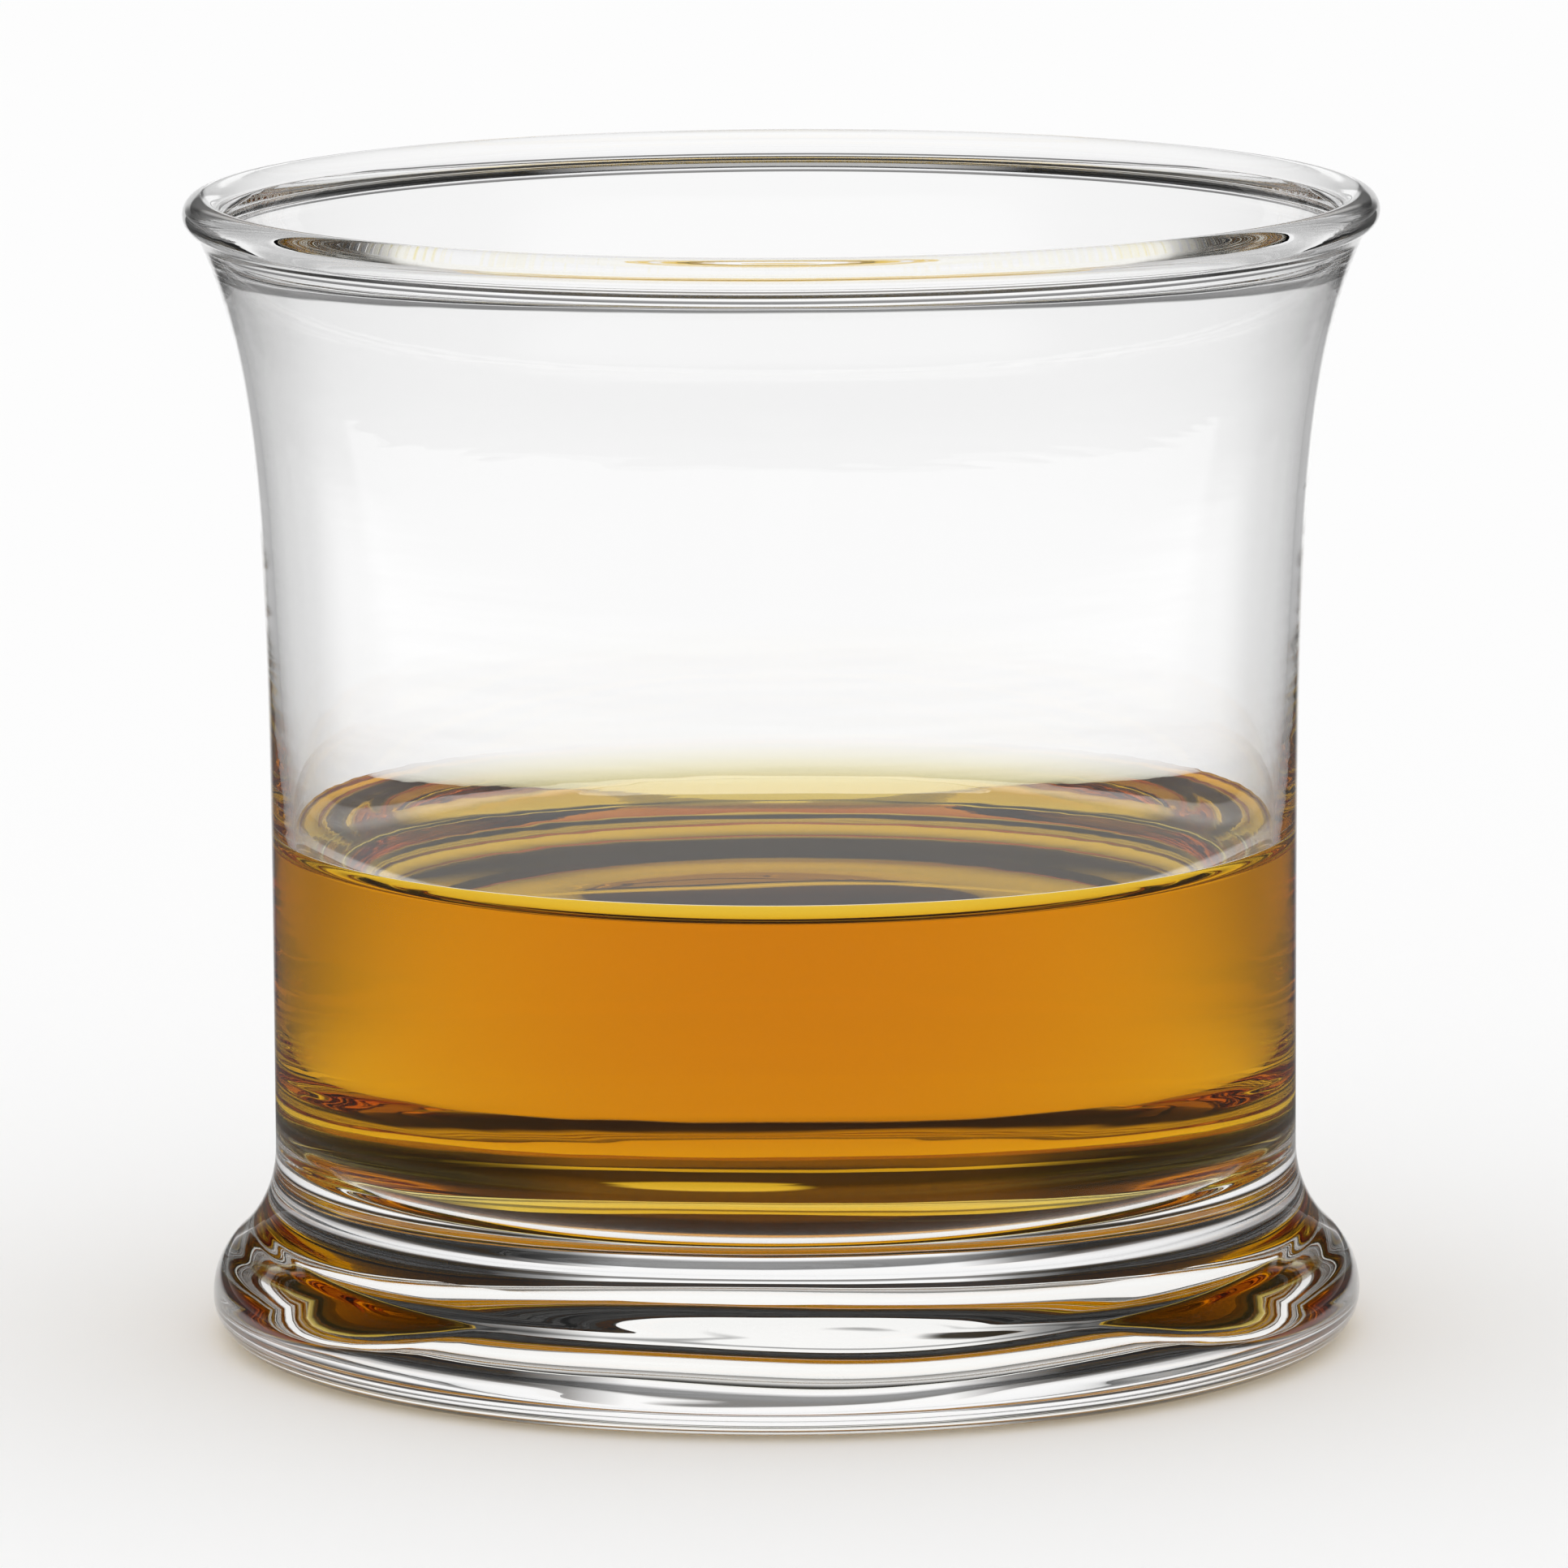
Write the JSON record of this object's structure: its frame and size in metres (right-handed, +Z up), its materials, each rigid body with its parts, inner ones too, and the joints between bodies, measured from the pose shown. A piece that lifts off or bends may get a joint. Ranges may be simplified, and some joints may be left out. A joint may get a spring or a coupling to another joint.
{
  "type": "rocks glass",
  "caption": "Short clear tumbler with a flared, beaded rim, a straight body and a heavy rounded foot, part filled with an amber spirit.",
  "frame": {"origin": "where the glass's axis meets the surface that it stands on", "axes": "+Z up along the axis, from the foot to the rim; the glass is the same all round"},
  "size_m": [0.085, 0.085, 0.082],
  "materials": {
    "bowl_glass": "clear fire-polished",
    "foot_glass": "clear fire-polished",
    "drink": "clear amber liquid"
  },
  "bodies": {
    "root": {"bowl": "bowl_glass", "foot": "foot_glass", "drink": "drink"}
  },
  "joints": []
}
